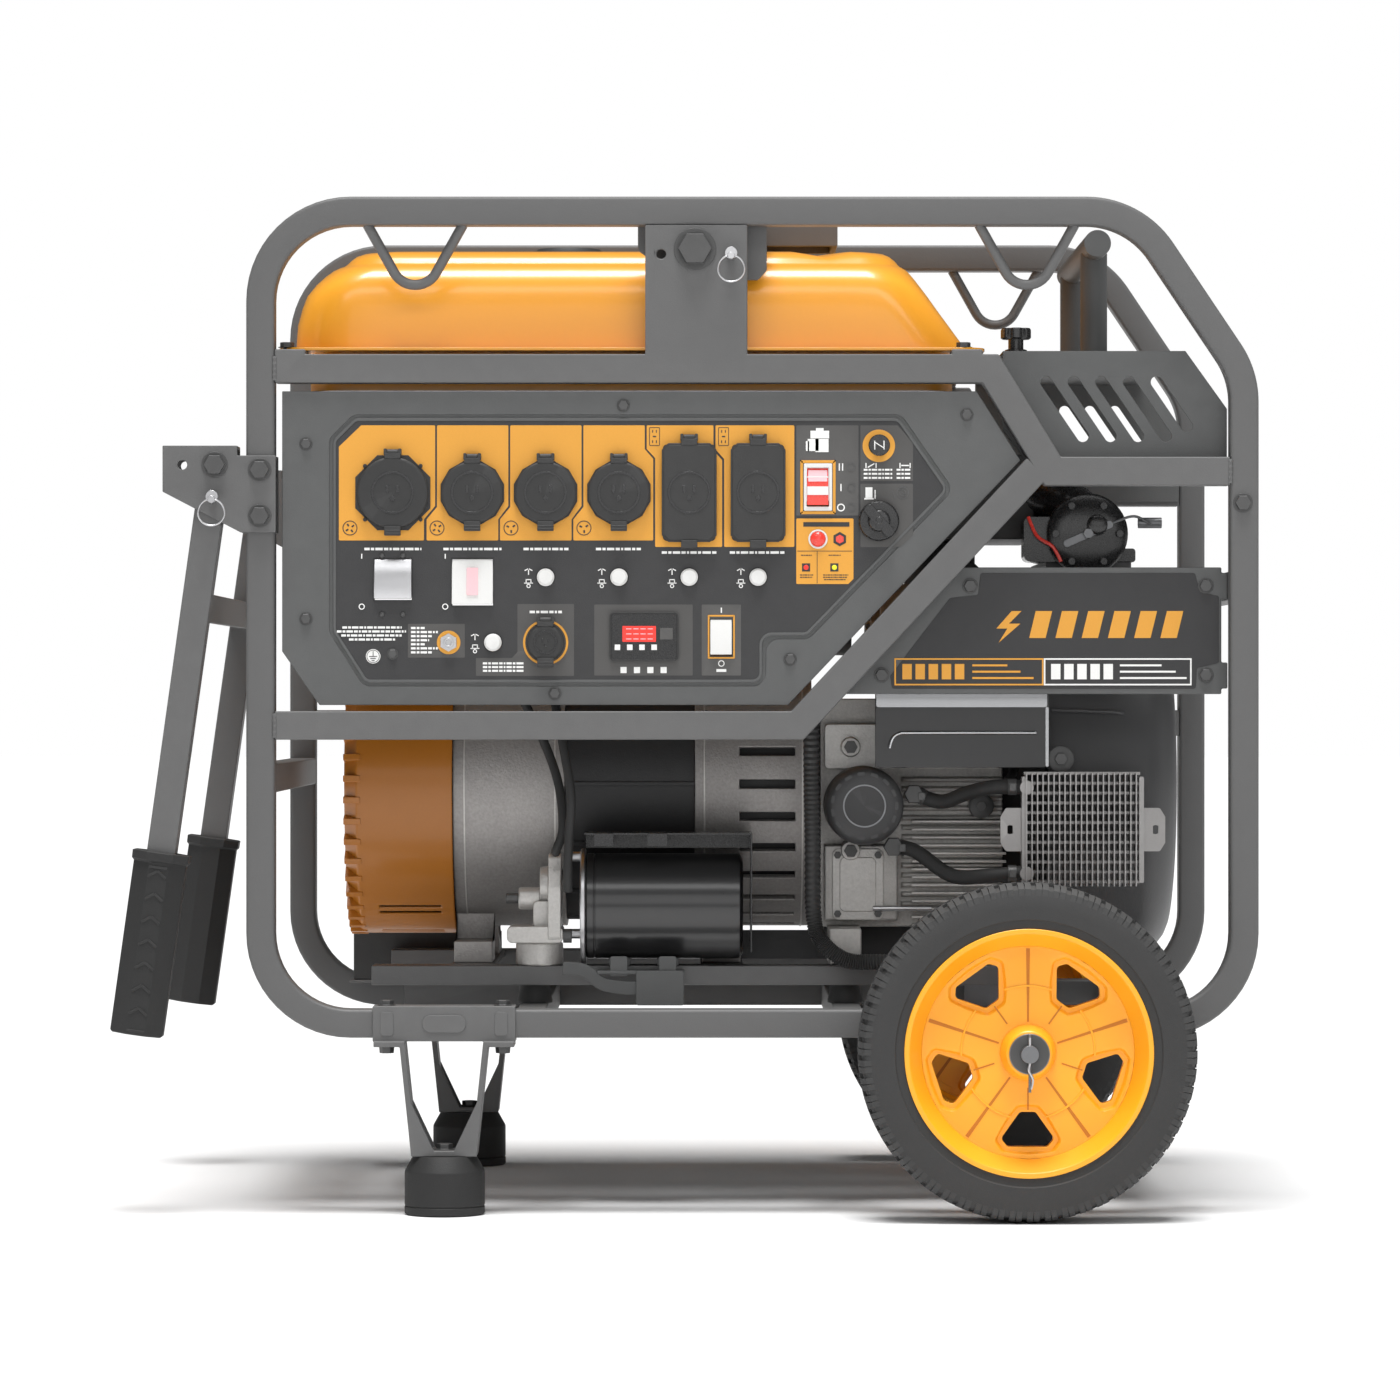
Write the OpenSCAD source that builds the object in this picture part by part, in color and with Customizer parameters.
/* [Frame] */
// Length of the tube frame, left to right
frame_len = 922; // [900:1:950]
// Height of the tube frame
frame_h = 766; // [750:1:790]
// Distance between the centres of the front and the back loop
frame_w = 540; // [536:1:560]
// Side of the square frame tube
tube = 26; // [25:0.5:27]
// Wall of the frame tube
tube_wall = 2; // [1.5:0.5:3]
// Outer radius of the frame bends
bend_r = 95; // [70:1:110]

/* [Wheels] */
// Outer diameter of a tyre
wheel_d = 305; // [300:1:310]
// Width of a tyre
tyre_w = 70; // [60:1:76]
// Diameter of the axle
axle_d = 16; // [14:1:18]

/* [Handle] */
// Length of a handle arm from its pivot to the end of its grip
handle_len = 524; // [480:1:530]
// Length of a rubber grip
grip_len = 168; // [120:1:180]

/* [Alternator] */
// Outer radius of the alternator's cast housings
alt_r = 138; // [130:1:140]

/* [Hidden] */
$fn = 48;
// frame
frame_left = -398.4;                     // outer face of the left posts
frame_right = frame_left + frame_len;
frame_bottom = 161;                      // underside of the bottom tubes
frame_top = frame_bottom + frame_h;
face_y = -(frame_w + tube) / 2;          // front face of the front loop
back_y = face_y + tube;                  // back face of the front loop's tube
post_in = frame_left + tube;             // inner face of the left posts
tube_bore = tube - 2 * tube_wall;
rail_under = frame_top - tube;           // underside of the top rails
deck = frame_bottom + tube;              // top of the bottom tubes
// the two bent bars that carry the panel: centre lines in x, z
upper_bar = [[post_in, 770.5], [279.3, 770.5], [336, 677], [frame_right - tube, 677]];
lower_bar = [[post_in, 445.4], [103.6, 445.4], [322, 680]];
// control panel
panel_y = face_y + 7;                    // front face of the panel plate
panel_t = 3;
panel_box_depth = 70;
panel_pts = [[-366, 750], [267, 750], [307, 687], [95, 464], [-332, 464], [-366, 513]];
field_pts = [[198, 729], [246, 660], [114, 524], [75, 524], [75, 481], [-292, 481], [-323, 530],
             [-323, 707], [-301, 729]];
outlet_z = 657.4;                        // height of the row of outlets
// x, cover radius of the round outlets
round_outlets = [[-265, 32.5], [-192.5, 28.3], [-125.8, 28.3], [-59, 28.3]];
duplex_x = [5, 67.7];                    // centres of the two duplex outlets
duplex_hinge = 50.5;                     // height of their hinges over the row of outlets
dc_outlet = [-125.8, 521, 16];           // x, z, cover radius
button_r = 8;
buttons = [[-125.8, 580.5], [-59, 580.5], [5, 580.5], [67.7, 580.5], [-173.9, 521]];
// engine and alternator
shaft_z = 390;
stator_r = 132;
cover_r = 145;
cover_x = [-319, -217];                  // left and right end of the alternator's fan cover
housing_x = [-217, -112];
stator_x = [-112, 10];
bell_x = [10, 120];
// wheels
axle_x = 309;
axle_z = wheel_d / 2;
tyre_in = -face_y + 23;                  // distance of a tyre's inner side from the centre plane
// handle
pivot = [-426.5, 682.5];
handle_lean = 7.96;                      // degrees from straight down when folded
lock_r = 29.4;                           // distance of the lock holes from the pivot
lock_lean = 2.7;                         // how far the folded lock hole lies off the vertical
// lift arm
lift_pivot = [10.3, 879];
lift_lock = [43.1, 874.5];
// foot
foot_x = -218;
foot_r = 36.6;

// ---------- shared shapes ----------

function unit(v) = v / norm(v);
function turn_left(v) = [-v[1], v[0]];

// The outline pts, which runs clockwise, moved inwards by d.
function inset(pts, d) = [for (i = [0:len(pts) - 1])
    let (n = len(pts),
         a = -turn_left(unit(pts[i] - pts[(i + n - 1) % n])),
         b = -turn_left(unit(pts[(i + 1) % n] - pts[i])))
    pts[i] + d * (a + b) / (1 + a * b)];

// The points of an arc that rounds the corner p between a and b with radius r, in n steps.
function corner_arc(a, p, b, r, n) =
    let (u = unit(a - p), v = unit(b - p), half = acos(u * v) / 2,
         c = p + unit(u + v) * r / sin(half),
         s = p + u * r / tan(half) - c,
         e = p + v * r / tan(half) - c,
         sweep = (180 - 2 * half) * sign(s[0] * e[1] - s[1] * e[0]))
    [for (k = [0:n]) c + [s[0] * cos(sweep * k / n) - s[1] * sin(sweep * k / n),
                          s[0] * sin(sweep * k / n) + s[1] * cos(sweep * k / n)]];

// The closed outline pts with every corner rounded.
function rounded(pts, r, n = 6) = [for (i = [0:len(pts) - 1])
    each corner_arc(pts[(i + len(pts) - 1) % len(pts)], pts[i], pts[(i + 1) % len(pts)], r, n)];

// A strip of width w along the open line pts, with mitred corners.
function strip(pts, w) =
    let (last = len(pts) - 1,
         side = [for (i = [0:last])
             let (a = turn_left(unit(i == 0 ? pts[1] - pts[0] : pts[i] - pts[i - 1])),
                  b = turn_left(unit(i == last ? pts[last] - pts[last - 1] : pts[i + 1] - pts[i])))
             (a + b) / (1 + a * b) * w / 2])
    concat([for (i = [0:last]) pts[i] + side[i]], [for (i = [last:-1:0]) pts[i] - side[i]]);

// Draws a flat outline in x, z and gives it the depth d from y towards the back.
module plate(y, d) {
    translate([0, y + d, 0]) rotate([90, 0, 0]) linear_extrude(d) children();
}

// A cylinder along y, from y over the length l.
module rod_y(x, y, z, r, l, sides = 48) {
    translate([x, y, z]) rotate([-90, 0, 0]) cylinder(r = r, h = l, $fn = sides);
}

// A cylinder along x, from x over the length l.
module rod_x(x, y, z, r, l, sides = 64) {
    translate([x, y, z]) rotate([0, 90, 0]) cylinder(r = r, h = l, $fn = sides);
}

module block(x, y, z) {
    translate([x[0], y[0], z[0]]) cube([x[1] - x[0], y[1] - y[0], z[1] - z[0]]);
}

// The children, and their mirror image behind the centre plane.
module front_and_back() {
    children();
    mirror([0, 1, 0]) children();
}

// A hex bolt in the front of something, its washer's underside at y and its shank going back.
module bolt_front(x, y, z, size, grip) {
    rod_y(x, y - size * 0.7, z, size * 0.95, size * 0.6, 6);
    rod_y(x, y - size * 0.1, z, size * 1.2, size * 0.1);
    rod_y(x, y - size * 0.1, z, size / 2, grip + size * 0.1);
}

// A hex bolt that stands on a face that looks up.
module bolt_up(x, y, z, size, grip) {
    translate([x, y, z]) {
        translate([0, 0, size * 0.1]) cylinder(r = size * 0.95, h = size * 0.6, $fn = 6);
        cylinder(r = size * 1.2, h = size * 0.1);
        translate([0, 0, -grip]) cylinder(r = size / 2, h = grip + 0.1);
    }
}

// Points swept into a closed round tube of radius r with n sides; the ends are flat.
function frame_at(path, i) =
    let (last = len(path) - 1,
         t = unit(i == 0 ? path[1] - path[0] : i == last ? path[last] - path[last - 1] : path[i + 1] - path[i - 1]),
         side = unit(abs(t[0]) < 0.9 ? cross(t, [1, 0, 0]) : cross(t, [0, 1, 0])))
    [side, cross(t, side)];
module tube_along(path, r, n = 10) {
    ring = len(path);
    pts = [for (i = [0:ring - 1]) let (f = frame_at(path, i))
           for (k = [0:n - 1]) path[i] + r * (cos(360 * k / n) * f[0] + sin(360 * k / n) * f[1])];
    sides = [for (i = [0:ring - 2]) for (k = [0:n - 1])
             [i * n + k, (i + 1) * n + k, (i + 1) * n + (k + 1) % n, i * n + (k + 1) % n]];
    polyhedron(pts, concat([[for (k = [0:n - 1]) k]], sides, [[for (k = [n - 1:-1:0]) (ring - 1) * n + k]]));
}

// A smooth line through the points p, with n steps between each pair.
function blend4(a, b, c, d, t) =
    0.5 * ((2 * b) + (c - a) * t + (2 * a - 5 * b + 4 * c - d) * t * t + (3 * b - a - 3 * c + d) * t * t * t);
function smooth(p, n) = concat(
    [for (i = [0:len(p) - 2]) for (k = [0:n - 1])
        blend4(p[max(i - 1, 0)], p[i], p[i + 1], p[min(i + 2, len(p) - 1)], k / n)],
    [p[len(p) - 1]]);

// ---------- frame ----------

loop_pts = [[frame_left, frame_bottom], [frame_left, frame_top], [frame_left + 816, frame_top],
            [frame_right, frame_top - 158], [frame_right, frame_bottom]];

// A band as wide as the tube round the loop, w narrower at each side.
module loop_band(w) difference() {
    polygon(rounded(inset(loop_pts, w), bend_r - w));
    polygon(rounded(inset(loop_pts, tube - w), bend_r - tube + w));
}
module side_loop() difference() {
    plate(face_y, tube) loop_band(0);
    plate(face_y + tube_wall, tube_bore) loop_band(tube_wall);
}

module front_loop() color("dimgray") side_loop();
module back_loop() color("dimgray") mirror([0, 1, 0]) side_loop();

// Welded to the loops: the bent bars, the cross tubes, the tank tabs and the lift plates.
cross_x = [-139, 150];                   // centres of the bottom tubes under the engine base
// A straight tube along y between the loops, its corner at x, z.
module cross_tube(x, z) difference() {
    block([x, x + tube], [back_y, -back_y], [z, z + tube]);
    block([x + tube_wall, x + tube - tube_wall], [back_y - 1, 1 - back_y], [z + tube_wall, z + tube - tube_wall]);
}
module frame_bars() color("dimgray") {
    front_and_back() difference() {
        union() {
            plate(face_y, tube) polygon(strip(upper_bar, tube));
            for (x = [[post_in, post_in + 28], [244, 272]])
                block(x, [face_y, -236], [783.5, flange_z[0]]);
            lift_plate();
        }
        rod_y(lift_pivot[0], face_y - 1, lift_pivot[1], 8.3, 6);
        for (x = [lift_lock[0], 2 * lift_pivot[0] - lift_lock[0] + 2])
            rod_y(x, face_y - 1, lift_lock[1], 4.3, 6);
    }
    plate(face_y, tube) polygon(strip(lower_bar, tube));
    plate(-back_y, tube) polygon(strip([[post_in, 445.4], [frame_right - tube, 445.4]], tube));
    for (x = concat(cross_x, [433])) cross_tube(x - tube / 2, frame_bottom);
    cross_tube(frame_left, 384);
    cross_tube(frame_right - tube, 560);
}

module lift_plate() {
    x = [-35, 58];
    block(x, [face_y, face_y + 4], [783.5, rail_under]);
    for (side = [[x[0], x[0] + 4], [x[1] - 4, x[1]]])
        block(side, [face_y, face_y + 18], [783.5, rail_under]);
}

// A V of round wire under each end of the top rails.
hook_x = [-245, 313];
module cord_hooks() color("dimgray")
    for (x = hook_x) front_and_back()
        tube_along([for (p = concat([[-43.5, 0]], corner_arc([-43.5, 0], [0, -76], [43.5, 0], 22, 10), [[43.5, 0]]))
                    [x + p[0], -frame_w / 2, rail_under + p[1]]], 4.7, 10);

// ---------- base under the engine ----------

rail_y = [-185, -145];                   // the front base rail; the back one mirrors it
rail_z = [204, 222];
module engine_base() color("dimgray") {
    front_and_back() difference() {
        block([-290, 340], rail_y, rail_z);
        block([-291, 341], [rail_y[0] + 3, rail_y[1] - 3], [rail_z[0] - 1, rail_z[1] - 3]);
    }
    for (x = [[-218, -178], [15, 55]]) block(x, [rail_y[1], -rail_y[1]], [rail_z[1] - 6, rail_z[1]]);
    // battery tray, bolted between the back rail and the back bottom tube
    block([-334, -186], [188, 252], [deck, deck + 3]);
}

module rubber_mounts() color([0.09, 0.09, 0.09])
    for (x = cross_x, side = [-1, 1])
        translate([x, side * 165, deck]) cylinder(r = 16.5, h = rail_z[1] - 3 - deck);

// ---------- control panel ----------

module control_panel() color([0.27, 0.27, 0.27]) {
    difference() {
        plate(panel_y, panel_box_depth) polygon(panel_pts);
        plate(panel_y + panel_t, panel_box_depth) polygon(inset(panel_pts, 3));
        plate(panel_y - 1, 2.4) difference() {
            polygon(rounded(field_pts, 12));
            polygon(rounded(inset(field_pts, 3.5), 9));
        }
        for (o = round_outlets) rod_y(o[0], panel_y - 1, outlet_z, o[1] - 6, 6);
        for (x = duplex_x) block([x - 18, x + 18], [panel_y - 1, panel_y + 5], [outlet_z - 36, outlet_z + 36]);
        rod_y(dc_outlet[0], panel_y - 1, dc_outlet[1], dc_outlet[2] - 3, 6);
        for (b = buttons) rod_y(b[0], panel_y - 1, b[1], button_r + 1, 6);
        block([-282.5, -247.5], [panel_y - 1, panel_y + 5], [559.5, 597.5]);
        block([-211.5, -173.5], [panel_y - 1, panel_y + 5], [554.5, 597.5]);
        block([109, 135], [panel_y - 1, panel_y + 5], [641, 684]);
        block([24, 44], [panel_y - 1, panel_y + 5], [508, 543]);
        rod_y(177.8, panel_y - 1, 700.2, 5.2, 6);
        rod_y(177.8, panel_y - 1, 631.8, 6.2, 6);
    }
}

// A round outlet body: flange on the panel, a recessed face behind the cover, and hinge ears.
module outlet_body(x, z, r, ear = true) {
    difference() {
        union() {
            rod_y(x, panel_y - 4, z, r + 1.5, 4, 8);
            rod_y(x, panel_y, z, r - 6.5, 30);
        }
        rod_y(x, panel_y - 5, z, r - 8.5, 13);
    }
    if (ear) hinge_ears(x, z + r + 4.5);
}

// Two ears and a thin pin for a cover that tips up.
hinge_y = panel_y - 6.5;
module hinge_ears(x, z) {
    for (side = [-8.2, 5.2]) translate([x + side, 0, 0]) {
        block([0, 3], [panel_y - 9, panel_y], [z - 3, z + 3]);
    }
    rod_x(x - 6, hinge_y, z, 1, 12, 24);
}

module hinge_knuckle(x, z) {
    difference() {
        rod_x(x - 5, hinge_y, z, 2.6, 10, 24);
        rod_x(x - 6, hinge_y, z, 1.08, 12, 24);
    }
}

module duplex_body(x) {
    difference() {
        union() {
            block([x - 23, x + 23], [panel_y - 4, panel_y], [outlet_z - 43, outlet_z + 43]);
            block([x - 17.5, x + 17.5], [panel_y, panel_y + 34], [outlet_z - 35.5, outlet_z + 35.5]);
        }
        block([x - 16, x + 16], [panel_y - 5, panel_y + 10], [outlet_z - 33, outlet_z + 33]);
    }
    hinge_ears(x, outlet_z + duplex_hinge);
}

module panel_devices() {
    color([0.1, 0.1, 0.1]) {
        for (o = round_outlets) outlet_body(o[0], outlet_z, o[1]);
        for (x = duplex_x) duplex_body(x);
        outlet_body(dc_outlet[0], dc_outlet[1], dc_outlet[2]);
        // digital display
        block([-68, -4.5], [panel_y - 3, panel_y], [503.5, 548]);
        // seats of the four rocker switches
        rocker_seat([-282, -248], [560, 597]);
        rocker_seat([-211, -174], [555, 597]);
        rocker_seat([109.5, 134.5], [641.5, 683.5]);
        rocker_seat([24.5, 43.5], [508.5, 542.5]);
        for (b = buttons) difference() {
            rod_y(b[0], panel_y, b[1], button_r + 0.8, 22);
            rod_y(b[0], panel_y - 1, b[1], button_r + 0.3, 11);
        }
    }
    color("gold") rod_y(-214.2, panel_y - 2, 521, 10.6, 2);
    color("white") rod_y(-214.2, panel_y - 7, 521, 7.5, 5, 6);
    color("red") rod_y(122.3, panel_y - 6, 615, 7, 6);
    color("white") rod_y(-283, panel_y - 2, 508.4, 6.4, 2);
}

// A frame that a rocker tilts in, open to the front.
module rocker_seat(x, z) {
    difference() {
        block(x, [panel_y - 3, panel_y + 16], z);
        block([x[0] + 2, x[1] - 2], [panel_y - 4, panel_y + 13], [z[0] + 2, z[1] - 2]);
    }
}

// A rocker that pivots just behind the panel's face, tipped to one side.
rocker_tip = 8;
module rocker(x, z) {
    middle = (z[0] + z[1]) / 2;
    half = (z[1] - z[0]) / 2 - 3.2;
    translate([(x[0] + x[1]) / 2, panel_y + 1, middle]) rotate([rocker_tip, 0, 0]) rotate([0, 90, 0])
        linear_extrude(x[1] - x[0] - 5, center = true)
            polygon([[-half, -5.5], [0, -4], [half, -5.5], [half - 3, 5], [-half + 3, 5]]);
}
module main_breaker() color("silver") rocker([-282, -248], [560, 597]);
module second_breaker() color("white") rocker([-211, -174], [555, 597]);
module engine_switch() color("salmon") rocker([109.5, 134.5], [641.5, 683.5]);
module eco_switch() color("white") rocker([24.5, 43.5], [508.5, 542.5]);

// A flip cover over a round outlet.
module round_cover(x, z, r) {
    y = panel_y - 9;
    rod_y(x, y, z, r, 4.6);
    difference() {
        rod_y(x, y, z, r, 4.9);
        rod_y(x, y - 1, z, r - 2, 8);
    }
    block([x - 5, x + 5], [y, y + 3], [z + r - 2, z + r + 3]);
    hinge_knuckle(x, z + r + 4.5);
    block([x - 7.5, x + 7.5], [y - 2, y + 2.5], [z - r - 7, z - r + 2]);
}
module round_cover_of(i) color([0.12, 0.12, 0.12]) round_cover(round_outlets[i][0], outlet_z, round_outlets[i][1]);
module outlet_cover_1() round_cover_of(0);
module outlet_cover_2() round_cover_of(1);
module outlet_cover_3() round_cover_of(2);
module outlet_cover_4() round_cover_of(3);
module dc_cover() color([0.12, 0.12, 0.12]) round_cover(dc_outlet[0], dc_outlet[1], dc_outlet[2]);

module duplex_cover(i) {
    y = panel_y - 9;
    x = duplex_x[i];
    color([0.12, 0.12, 0.12]) {
        plate(y, 4.6) translate([x, outlet_z])
            polygon([[-25, -39], [-25, 39], [-19, 45], [19, 45], [25, 39], [25, -39], [19, -45], [-19, -45]]);
        block([x - 5, x + 5], [y, y + 3], [outlet_z + 44, outlet_z + duplex_hinge - 1.5]);
        hinge_knuckle(x, outlet_z + duplex_hinge);
        block([x - 7.5, x + 7.5], [y - 2, y + 2.5], [outlet_z - 51, outlet_z - 44]);
    }
}
module duplex_cover_1() duplex_cover(0);
module duplex_cover_2() duplex_cover(1);

module reset_button(i) color("white") {
    rod_y(buttons[i][0], panel_y - 5, buttons[i][1], button_r, 11);
}
module reset_button_1() reset_button(0);
module reset_button_2() reset_button(1);
module reset_button_3() reset_button(2);
module reset_button_4() reset_button(3);
module reset_button_5() reset_button(4);

module choke_knob() color([0.08, 0.08, 0.08]) {
    rod_y(177.8, panel_y - 16, 700.2, 9.8, 9);
    rod_y(177.8, panel_y - 7, 700.2, 5, 47);
}

module fuel_dial() color([0.08, 0.08, 0.08]) {
    difference() {
        rod_y(177.8, panel_y - 14, 631.8, 18.6, 13);
        rod_y(177.8, panel_y - 15, 631.8, 2.5, 5);
    }
    rod_y(177.8, panel_y - 1, 631.8, 6, 25);
}

// ---------- tank ----------

flange_z = [788, 791];
tank_front = [[-359, 791], [-352, 835], [-336, 862], [-310, 885], [190, 885], [262, 791]];
cap_x = -111;
tank_bolt_x = [-363, 256];
tank_bolt_y = 253.6;
tank_side = [[-245, 791], [-239, 860], [-226, 872], [-200, 885], [200, 885], [226, 872], [239, 860], [245, 791]];
tank_wall = 1.5;
// The tank's upper half, d inside its outer skin.
module tank_shell(d) {
    intersection() {
        plate(-260, 520) polygon(inset(tank_front, d));
        rotate([90, 0, 90]) linear_extrude(700, center = true) polygon(inset(tank_side, d));
    }
}
module fuel_tank() color("gold") {
    difference() {
        union() {
            tank_shell(0);
            block([-371.5, 276], [-262, 262], flange_z);
            block([-345, 248], [-232, 232], [752, 789]);
        }
        tank_shell(tank_wall);
        block([-343.5, 246.5], [-230.5, 230.5], [753.5, 796]);
        for (x = tank_bolt_x, side = [-1, 1])
            translate([x, side * tank_bolt_y, 780]) cylinder(r = 4.2, h = 20);
    }
    translate([cap_x, 0, 884]) cylinder(r = 29, h = 3);
}
module fuel_cap() color([0.08, 0.08, 0.08]) {
    translate([cap_x, 0, 887.4]) cylinder(r = 38, h = 9);
    translate([cap_x, 0, 896]) cylinder(r1 = 36, r2 = 31, h = 5.4);
}

// ---------- plates ----------

name_y = back_y + 1;
name_pts = [[130, 474], [238, 590], [492, 590], [492, 474]];
module nameplate() color([0.25, 0.25, 0.25]) {
    difference() {
        plate(name_y, 12) polygon(name_pts);
        plate(name_y + 2, 12) polygon(inset(name_pts, 2.5));
        for (b = name_bolts) rod_y(b[0], name_y - 1, b[1], 3.2, 8);
    }
    // tabs welded to the right post
    for (z = [[561, 585], [479, 503]]) block([492, frame_right - tube], [name_y, name_y + 3], z);
}
name_bolts = [[262, 573], [477.6, 573], [181, 491.5], [477.6, 491.5]];

vent_pts = [[312, 668], [312, 688], [292, 716], [292, 788], [459, 788], [497, 735], [497, 668]];
slot = [[331.5, 759.4], [365, 710.1]];
slot_step = 25.3;
module vent_slots() for (i = [0:4])
    let (start = slot[0] + [i * slot_step, 0],
         end = (i < 4 ? slot[1] : slot[1] + [-6, 9]) + [i * slot_step, 0],
         along = unit(end - start), across = turn_left(along)) {
        translate(start) circle(r = 5.4, $fn = 32);
        translate(end) circle(r = 5.4, $fn = 32);
        polygon([start + across * 5.4, end + across * 5.4, end - across * 5.4, start - across * 5.4]);
    }
module vent_housing() color([0.3, 0.3, 0.3]) {
    difference() {
        union() {
            front_and_back() plate(back_y + 1, 2) polygon(vent_pts);
            block([292, 459], [back_y + 1, -back_y - 1], [786, 788]);
            block([470, 497], [back_y + 1, back_y + 12], [668, 672]);
        }
        front_and_back() plate(back_y, 4) vent_slots();
        translate([305, -235, 780]) cylinder(r = 3.08, h = 10);
    }
    // hanger bar on two legs
    for (y = [-145, 145]) translate([383, y, 788]) cylinder(r = 12.5, h = 98);
    rod_y(383, -195, 891.5, 12.5, 390);
}

// Lobed thumb knob on a stud; its stud turns in a hole in the hood.
module hood_knob() color([0.08, 0.08, 0.08]) translate([305, -235, 0]) {
    translate([0, 0, 776]) cylinder(r = 3, h = 14);
    translate([0, 0, 788.4]) cylinder(r = 10.2, h = 12);
    difference() {
        translate([0, 0, 800]) cylinder(r = 14.2, h = 10.4);
        for (k = [0:5]) rotate([0, 0, 60 * k]) translate([17.5, 0, 799]) cylinder(r = 5, h = 13);
    }
}

// ---------- alternator ----------

module shell_x(x, r, wall) {
    difference() {
        rod_x(x[0], 0, shaft_z, r, x[1] - x[0]);
        rod_x(x[0] - 1, 0, shaft_z, r - wall, x[1] - x[0] + 2);
    }
}
module alternator_cover() color("goldenrod") {
    difference() {
        union() {
            rod_x(cover_x[0] + 12, 0, shaft_z, cover_r, cover_x[1] - cover_x[0] - 12);
            translate([cover_x[0], 0, shaft_z]) rotate([0, 90, 0])
                cylinder(r1 = cover_r - 14, r2 = cover_r, h = 12, $fn = 64);
        }
        rod_x(cover_x[0] + 12, 0, shaft_z, cover_r - 3, 120);
        // air slots across the end
        for (k = [-4:4]) block([cover_x[0] - 1, cover_x[0] + 13], [-1, 1] * (104 - abs(k) * 8),
                               [shaft_z + k * 22 - 5, shaft_z + k * 22 + 5]);
        // paired air slots along the underside
        for (k = [0:3]) translate([0, 0, shaft_z]) rotate([146 + k * 23, 0, 0])
            for (w = [-1, 1]) block([-288, -230], [w * 5 - 2, w * 5 + 2], [cover_r - 8, cover_r + 3]);
    }
}
module alternator_castings() color("darkgray") {
    difference() {
        union() {
            shell_x([housing_x[0], housing_x[1]], alt_r, 6);
            rod_x(housing_x[0], 0, shaft_z, alt_r, 8);
        }
        rod_x(housing_x[0] - 1, 0, shaft_z, 20.5, 10);
    }
    difference() {
        union() {
            shell_x([bell_x[0], bell_x[1]], alt_r, 6);
            rod_x(bell_x[1] - 8, 0, shaft_z, alt_r, 8);
        }
        rod_x(bell_x[1] - 9, 0, shaft_z, 20.5, 10);
        for (k = [0:27]) translate([0, 0, shaft_z]) rotate([k * 360 / 28, 0, 0])
            block([52, 104], [-4, 4], [alt_r - 8, alt_r + 2]);
    }
    // feet on the base's cross pads
    for (x = [[-216, -180], [17, 53]]) front_and_back() difference() {
        block(x, [-125, -60], [rail_z[1], 290]);
        rod_x(x[0] - 1, 0, shaft_z, alt_r - 0.5, 40);
        block([x[0] - 1, x[1] + 1], [-126, -61], [242, 300]);
    }
}
module stator() color([0.12, 0.12, 0.12]) shell_x(stator_x, stator_r, 40);

module rotor() color("slategray") {
    // two wound poles
    intersection() {
        rod_x(stator_x[0] + 4, 0, shaft_z, stator_r - 44, stator_x[1] - stator_x[0] - 8);
        block(stator_x, [-48, 48], [shaft_z - 100, shaft_z + 100]);
    }
    rod_x(-262, 0, shaft_z, 20.3, 650);
    // cooling fan inside the alternator's cover
    rod_x(-240, 0, shaft_z, 108, 3);
    for (k = [0:11]) translate([0, 0, shaft_z]) rotate([k * 30, 0, 0]) block([-260, -239], [-1.5, 1.5], [40, 106]);
    rod_x(-250, 0, shaft_z, 42, 13);
    // dished flywheel inside the blower housing
    difference() {
        rod_x(348, 0, shaft_z, 112, 30);
        rod_x(356, 0, shaft_z, 100, 30);
    }
    rod_x(348, 0, shaft_z, 34, 26);
}

// ---------- engine ----------

module crankcase() color("dimgray") {
    difference() {
        block([128, 300], [-105, 105], [255, 470]);
        block([136, 292], [-97, 97], [263, 462]);
        rod_x(127, 0, shaft_z, 20.38, 180);
    }
    // cooling ribs on the front of the case
    for (z = [275:9:400]) block([205, 300], [-109, -104], [z, z + 3.5]);
    // side cover next to the bell housing
    block([132, 200], [-121, -105], [262, 332]);
    rod_y(167.4, -112, 370.3, 30, 8);
    // cast feet
    for (x = [[135, 165], [262, 292]]) front_and_back() block(x, [-172, -80], [rail_z[1], 256]);
}
head_turn = 45;
module one_cylinder() {
    translate([0, 0, shaft_z]) rotate([head_turn, 0, 0]) {
        block([190, 290], [-44, 44], [118, 190]);
        for (k = [0:6]) block([176, 304], [-56, 56], [120 + k * 10, 124 + k * 10]);
        block([184, 296], [-52, 52], [190, 214]);
    }
}
module cylinders() color("gray") front_and_back() difference() {
    one_cylinder();
    block([120, 310], [-400, 400], [200, 479]);
    block([120, 310], [-20, 400], [200, 640]);
}
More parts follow.
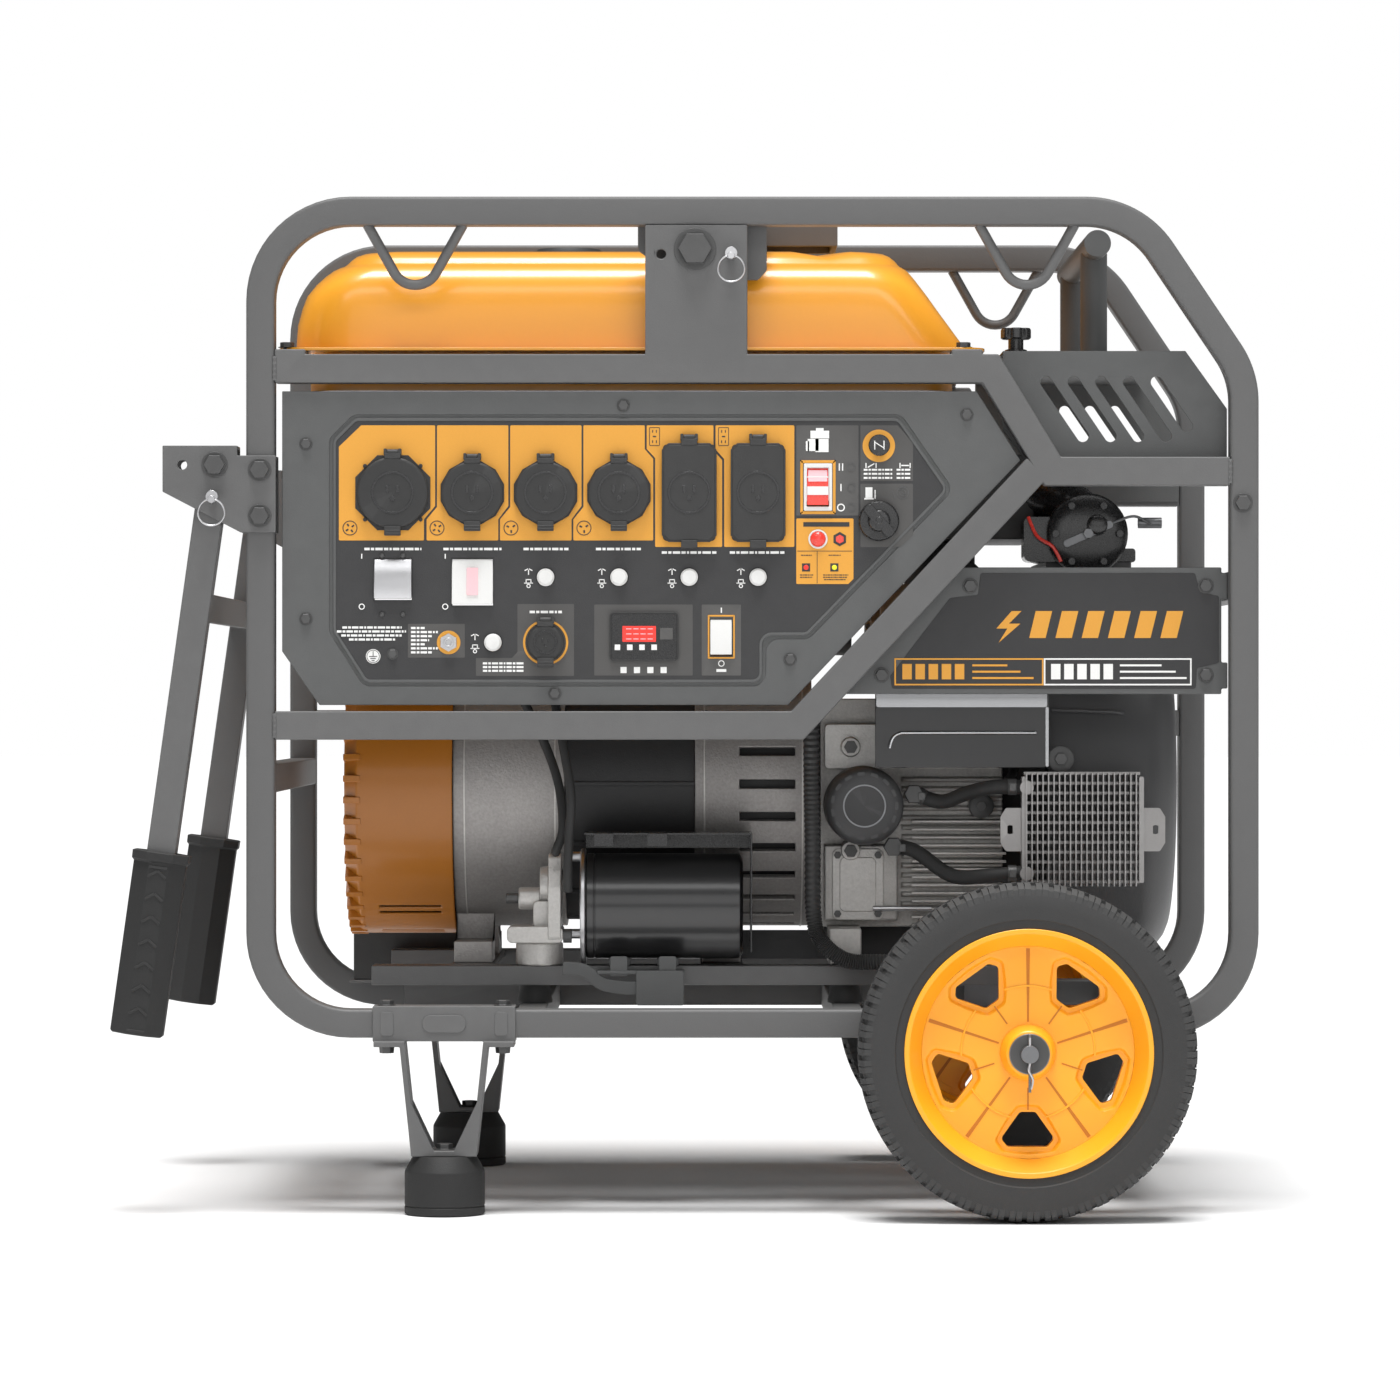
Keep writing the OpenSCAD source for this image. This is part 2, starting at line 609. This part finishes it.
// Half section of the fan drum: radius, corner radius, and how far it lies inside the outer face.
module drum_outline(r, corner, wall) {
    ends = [340 - wall / 6, 462 - wall];
    polygon(concat([[0, ends[0]], [0, ends[1]]], corner_arc([0, ends[1]], [r, ends[1]], [r, ends[0]], corner, 6),
                   [[r, ends[0]]]));
}
module blower_housing() color([0.22, 0.22, 0.22]) {
    difference() {
        translate([0, 0, shaft_z]) rotate([0, 90, 0]) rotate_extrude($fn = 96) difference() {
            drum_outline(165, 34, 0);
            drum_outline(159, 28, 6);
        }
        // air inlet: slots between ribs
        for (k = [0:11]) translate([0, 0, shaft_z]) rotate([k * 30, 0, 0]) block([450, 466], [-7, 7], [34, 112]);
        block([339, 420], [-114, 114], [shaft_z + 100, 590]);
    }
    // duct up to the cylinders
    difference() {
        block([340, 420], [-120, 120], [shaft_z + 110, 600]);
        block([339, 414], [-114, 114], [shaft_z + 100, 594]);
        rod_x(330, 0, shaft_z, 164.9, 120);
    }
    // sheet cowl over the front of the crankcase, under the cylinder
    block([177, 338], [-196, -194], [406, 478]);
    block([177, 338], [-194.5, -120], [476, 478]);
}

module oil_filter() color([0.1, 0.1, 0.1]) {
    difference() {
        union() {
            rod_y(167.4, -190, 370.3, 32, 78);
            rod_y(167.4, -186, 370.3, 36.7, 70);
        }
        rod_y(167.4, -184, 370.3, 34.5, 66);
    }
    rod_y(167.4, -185, 370.3, 14, 70);
}
cooler_x = [314, 421];
cooler_z = [297, 401];
cooler_y = [-225, -195];
module oil_cooler() color("silver") {
    for (i = [0:15]) let (x = cooler_x[0] + 1 + i * 6.9)
        block([x, x + 1.4], cooler_y, cooler_z);
    for (i = [0:5]) let (z = cooler_z[0] + 10 + i * 17)
        block([cooler_x[0], cooler_x[1]], [cooler_y[0] + 8, cooler_y[1] - 8], [z, z + 5]);
    for (x = [[cooler_x[0] - 4, cooler_x[0] + 1], [cooler_x[1] - 1, cooler_x[1] + 4]])
        block(x, [cooler_y[0] + 5, cooler_y[1] - 5], [cooler_z[0] + 4, cooler_z[1] - 4]);
    for (x = [[cooler_x[0] - 23, cooler_x[0] - 2], [cooler_x[1] + 2, cooler_x[1] + 22]]) difference() {
        block(x, [cooler_y[0] + 10, cooler_y[0] + 13], [329, 369]);
        rod_y((x[0] + x[1]) / 2, cooler_y[0], 349, 3, 30);
    }
}
module carburettor() color([0.15, 0.15, 0.15]) {
    block([215, 275], [-45, 45], [472, 540]);
    difference() {
        block([180, 330], [-105, 105], [620, 700]);
        block([183, 327], [-102, 102], [623, 697]);
    }
    translate([245, 0, 540]) cylinder(r = 34, h = 80);
    rod_y(262, -80, 580, 22, 44);
}
// The muffler's oval shell, w inside its outer skin.
module muffler_body(w) {
    for (z = [555, 625]) rod_x(-130 + w, 190, z, 42 - w, 295 - 2 * w);
    block([-130 + w, 165 - w], [148 + w, 232 - w], [555, 625]);
}
module muffler() color([0.35, 0.35, 0.35]) {
    difference() {
        muffler_body(0);
        muffler_body(2);
    }
    // inlet from the back cylinder, and the outlet with its spark screen
    rod_x(164, 190, 560, 16, 11);
    rod_x(-160, 190, 600, 15, 31);
    rod_x(-166, 190, 600, 19, 8);
}

// ---------- starter, battery, cables ----------

starter_z = 277;
starter_y = -166;
module starter_motor() {
    color([0.2, 0.2, 0.2]) {
        difference() {
            rod_x(-95, starter_y, starter_z, 49, 150);
            rod_x(-90, starter_y, starter_z, 44, 140);
        }
        rod_x(-91, starter_y, starter_z, 30, 142);
    }
    color("silver") {
        rod_x(-101, starter_y, starter_z, 50, 6);
        rod_x(-140, starter_y, starter_z + 8, 14, 39);
        block([-122, -110], [starter_y - 30, starter_y + 26], [240, 326]);
        block([-160, -110], [starter_y - 30, starter_y + 26], [rail_z[1] + 3, 243]);
        translate([-140, starter_y, rail_z[1]]) cylinder(r = 18, h = 4);
    }
    // sheet guard, open to the front
    color([0.12, 0.12, 0.12]) {
        block([-92, 63], [-218, -142], [344.5, 346]);
        block([61.5, 63], [-218, -142], [236, 346]);
        block([-92, 63], [-143.5, -142], [330, 346]);
    }
    // cradle
    color("dimgray") {
        for (x = [-70, -25]) block([x, x + 20], [starter_y - 20, starter_y + 20], [rail_z[1], 229.5]);
        block([-80, 0], [-215, rail_y[0]], [216, 219]);
        block([-44, 0], [-218, -215], [deck, 219]);
    }
}
module battery() color([0.08, 0.08, 0.08]) {
    block([-330, -190], [190, 250], [deck + 3, deck + 133]);
    for (x = [-315, -215]) block([x, x + 10], [205, 215], [deck + 133, deck + 145]);
}
cable_1 = [[-120, -200, 470], [-112, -214, 430], [-104, -222, 380], [-106, -222, 340], [-107, -222, 310], [-107, -219, 292]];
cable_2 = [[-150, -190, 470], [-130, -188, 430], [-116, -196, 390], [-112, -206, 350], [-118, -208, 330], [-118, -204, 328]];
conduit = [[118, -196, 462], [118, -196, 400], [119, -196, 340], [120, -196, 270], [128, -196, 245],
           [150, -196, 228], [180, -196, 226], [230, -196, 226]];
top_hose = [[214, -160, 381], [240, -168, 374], [262, -186, 382], [285, -206, 388], [308.9, -210, 388]];
low_hose = [[195, -160, 332], [215, -172, 328], [248, -190, 306], [280, -206, 306], [308.9, -210, 309]];
module hoses_and_cables() color([0.08, 0.08, 0.08]) {
    tube_along(smooth(cable_1, 5), 4.5);
    tube_along(smooth(cable_2, 5), 4);
    tube_along(smooth(conduit, 5), 7.8);
    tube_along(smooth(top_hose, 5), 6.8);
    tube_along(smooth(low_hose, 5), 6.8);
}

// ---------- axle, legs, feet ----------

module axle() color("gray") {
    rod_y(axle_x, -388, axle_z, axle_d / 2, 776);
    // washers and spring clips outside the wheels
    front_and_back() {
        difference() {
            rod_y(axle_x, -381, axle_z, 18.2, 2.6);
            rod_y(axle_x, -382, axle_z, axle_d / 2 - 0.5, 5);
        }
        rod_z(axle_x, -384.5, axle_z - 34, 1.3, 52);
    }
    // brackets under the bottom tubes
    front_and_back() for (y = [face_y - 4, back_y]) difference() {
        plate(y, 4) polygon(rounded([[axle_x - 28, 138], [axle_x - 28, deck], [axle_x + 28, deck], [axle_x + 28, 138]], 8));
        block([axle_x - 60, axle_x + 60], [face_y, back_y], [0, 300]);
    }
}
module rod_z(x, y, z, r, l) {
    translate([x, y, z]) cylinder(r = r, h = l, $fn = 24);
}

saddle_x = [-283, -153];
module leg_brackets() color("dimgray") front_and_back() {
    // saddle over the bottom tube
    difference() {
        block(saddle_x, [face_y - 3, back_y + 3], [frame_bottom - 3, deck + 3]);
        block([saddle_x[0] - 1, saddle_x[1] + 1], [face_y, back_y], [frame_bottom, deck]);
    }
    // two strip legs and the plate over the foot
    legs = [[-282, 155.5], [-256, 155.5], [-245.5, 56], [-190.5, 56], [-180, 155.5], [-154, 155.5]];
    plate(-frame_w / 2 - 20, 40) polygon(strip(legs, 5));
    for (side = [-1, 1]) for (y = [-frame_w / 2 - 20, -frame_w / 2 + 17])
        plate(y, 3) polygon([[foot_x + side * 26, 56], [foot_x + side * 9, 58.4], [foot_x + side * 31, 105]]);
}
module rubber_feet() color([0.1, 0.1, 0.1]) front_and_back()
    translate([foot_x, -frame_w / 2, 0]) {
        cylinder(r = foot_r, h = 40, $fn = 64);
        translate([0, 0, 40]) cylinder(r1 = foot_r, r2 = 29, h = 13.4, $fn = 64);
    }

// ---------- wheels ----------

module tyre() {
    r = wheel_d / 2;
    translate([axle_x, -tyre_in, axle_z]) rotate([90, 0, 0]) rotate_extrude($fn = 128)
        polygon(rounded([[108, 6], [108, tyre_w - 6], [r - 16, tyre_w], [r, tyre_w - 14], [r, 14], [r - 16, 0]], 4, 4));
}
module rim() {
    bore = axle_d / 2 + 0.08;
    translate([axle_x, -tyre_in, axle_z]) rotate([90, 0, 0]) difference() {
        // hub, web, barrel and outer lip in one half section
        rotate_extrude($fn = 128) polygon([[bore, 0], [24, 0], [24, 44], [100, 44], [100, 5], [107.6, 5],
            [107.6, tyre_w - 3], [111.6, tyre_w - 3], [111.6, tyre_w], [100, tyre_w], [100, 50], [24, 50],
            [24, tyre_w + 2], [bore, tyre_w + 2]]);
        for (k = [0:4]) rotate([0, 0, 36 + k * 72]) translate([0, 0, 30])
            linear_extrude(40) polygon(rounded([[54, -9], [82, -24], [88, 0], [82, 24], [54, 9]], 4, 4));
    }
}
module tyre_front() color([0.12, 0.12, 0.12]) tyre();
module rim_front() color("orange") rim();
module tyre_back() color([0.12, 0.12, 0.12]) mirror([0, 1, 0]) tyre();
module rim_back() color("orange") mirror([0, 1, 0]) rim();

// ---------- folding handle ----------

// Draws its children in the arm's own frame: the pivot at the origin and the arm along -z.
module at_arm() {
    translate([pivot[0], 0, pivot[1]]) rotate([0, handle_lean, 0]) children();
}
arm = 26;
module handle_frame() color("dimgray") at_arm() {
    front_and_back() difference() {
        union() {
            block([-arm / 2, arm / 2], [face_y + 0.4, back_y - 0.4], [-handle_len + 12, 0]);
            rod_y(0, face_y + 0.4, 0, arm / 2, tube - 0.8);
        }
        rod_y(0, face_y - 1, 0, 5.08, tube + 2);
        // short slot that meets the lock hole of either position
        for (a = [0:handle_lean / 4:handle_lean]) rotate([0, -a, 0]) rod_y(0, face_y - 1, -lock_r, 4.6, tube + 2);
        // bore of the square tube, open at its lower end
        block([-arm / 2 + 2, arm / 2 - 2], [face_y + 2.4, back_y - 2.4], [-handle_len, -50]);
    }
    block([-arm / 2, arm / 2], [back_y - 1, -back_y + 1], [-143, -117]);
}
module handle_grips() color([0.1, 0.1, 0.1]) at_arm() front_and_back() difference() {
    union() {
        translate([0, -frame_w / 2, -handle_len]) linear_extrude(grip_len)
            polygon([[-24, -8], [-24, 8], [-9, 19], [9, 19], [24, 8], [24, -8], [9, -19], [-9, -19]]);
        block([-26, 26], [-frame_w / 2 - 21, -frame_w / 2 + 21], [-handle_len + grip_len - 8, -handle_len + grip_len]);
    }
    block([-arm / 2 - 0.2, arm / 2 + 0.2], [face_y + 0.2, back_y - 0.2], [-handle_len + 11.5, 0]);
}

bracket_pts = [[-474, 658], [-474, 700], [-406, 700], [-406, 691], [-371, 691], [-371, 621], [-403, 621]];
folded_lock = pivot + lock_r * [-sin(lock_lean), -cos(lock_lean)];
raised_lock = pivot + lock_r * [-1, 0];
module handle_brackets() color([0.3, 0.3, 0.3]) front_and_back() {
    difference() {
        union() {
            for (y = [face_y - 4, back_y]) plate(y, 4) polygon(bracket_pts);
            block([-474, -406], [face_y - 4, back_y + 4], [697, 700]);
        }
        rod_y(pivot[0], face_y - 6, pivot[1], 5.3, 40);
        for (p = [raised_lock, folded_lock]) rod_y(p[0], face_y - 6, p[1], 4.3, 40);
    }
}

// A pull pin parked with its tip just clear of what it locks. Its head has a ring.
module pull_pin(x, y, z, shank) {
    rod_y(x, y - shank, z, 4, shank, 32);
    rod_y(x, y - shank - 5, z, 5.6, 5, 32);
    translate([x, y - shank - 8.5, z - 14.5]) rotate([0, 90, 90])
        rotate_extrude($fn = 40) translate([12, 0]) circle(r = 0.9, $fn = 16);
    rod_y(x, y - shank - 9.6, z - 2.6, 3.2, 5, 24);
}
module handle_pin() color("white") pull_pin(folded_lock[0], face_y - 0.5, folded_lock[1], 14);
module handle_pin_front() handle_pin();
module handle_pin_back() mirror([0, 1, 0]) handle_pin();

// ---------- lift arm ----------

lug_y = [back_y + 2, back_y + 8];
module lift_arm() color("dimgray") {
    front_and_back() difference() {
        plate(lug_y[0], 6) polygon([[-42, 880], [-42, 921], [76, 921], [76, 862], [68, 853], [-4, 853]]);
        rod_y(lift_pivot[0], lug_y[0] - 1, lift_pivot[1], 8.08, 8);
        rod_y(lift_lock[0], lug_y[0] - 1, lift_lock[1], 4.6, 8);
        rod_y(lift_pivot[0] - 5.5, lug_y[0] - 1, lift_pivot[1] + 30, 4.6, 8);
    }
    difference() {
        union() {
            block([24, 76], [lug_y[1] - 0.5, -lug_y[1] + 0.5], [915, 921]);
            for (x = [[24, 28], [72, 76]]) block(x, [lug_y[1] - 0.5, -lug_y[1] + 0.5], [901, 921]);
            block([75, 146], [-45, 45], [909, 921]);
            for (side = [-1, 1]) block([75, 146], [side * 42 - 3, side * 42 + 3], [901, 921]);
            block([140, 146], [-45, 45], [901, 921]);
        }
        translate([108, 0, 900]) cylinder(r = 22, h = 30);
    }
}
module lift_pin() color("white") pull_pin(lift_lock[0], back_y + 1.6, lift_lock[1], 37);

// ---------- fasteners ----------

panel_bolts = [[-55, 737], [-344.3, 702], [-344.3, 542.6], [-117.5, 474.6], [258, 728.7], [97, 505.7]];
module fasteners() color([0.3, 0.3, 0.3]) {
    for (b = panel_bolts) bolt_front(b[0], panel_y, b[1], 5, 8);
    for (b = name_bolts) bolt_front(b[0], name_y, b[1], 6, 6);
    // earth terminal
    bolt_front(-265.3, panel_y, 510.6, 4.5, 8);
    // handle pivots and bracket bolts
    front_and_back() {
        bolt_front(pivot[0], face_y - 4, pivot[1], 10, tube + 8);
        for (z = [677.9, 636]) bolt_front(-385.6, face_y - 4, z, 9, tube + 8);
        bolt_front(frame_right - 14.6, face_y, 648, 7.5, 14);
        bolt_front(lift_pivot[0], face_y, lift_pivot[1], 16, tube + 12);
        for (x = [-271, -165]) bolt_up(x, -frame_w / 2, deck + 3, 7, 38);
        bolt_up(foot_x, -frame_w / 2, 58.5, 8, 30);
        for (x = tank_bolt_x) bolt_up(x, -tank_bolt_y, flange_z[1], 7, 12);
    }
}

front_loop();
back_loop();
frame_bars();
cord_hooks();
engine_base();
rubber_mounts();
control_panel();
panel_devices();
fasteners();
fuel_tank();
nameplate();
vent_housing();
alternator_cover();
alternator_castings();
stator();
crankcase();
cylinders();
blower_housing();
oil_filter();
oil_cooler();
hoses_and_cables();
carburettor();
muffler();
starter_motor();
battery();
axle();
leg_brackets();
rubber_feet();
handle_brackets();
tyre_front();
rim_front();
tyre_back();
rim_back();
handle_frame();
handle_grips();
handle_pin_front();
handle_pin_back();
lift_arm();
lift_pin();
outlet_cover_1();
outlet_cover_2();
outlet_cover_3();
outlet_cover_4();
duplex_cover_1();
duplex_cover_2();
dc_cover();
reset_button_1();
reset_button_2();
reset_button_3();
reset_button_4();
reset_button_5();
main_breaker();
second_breaker();
engine_switch();
eco_switch();
choke_knob();
fuel_dial();
fuel_cap();
hood_knob();
rotor();
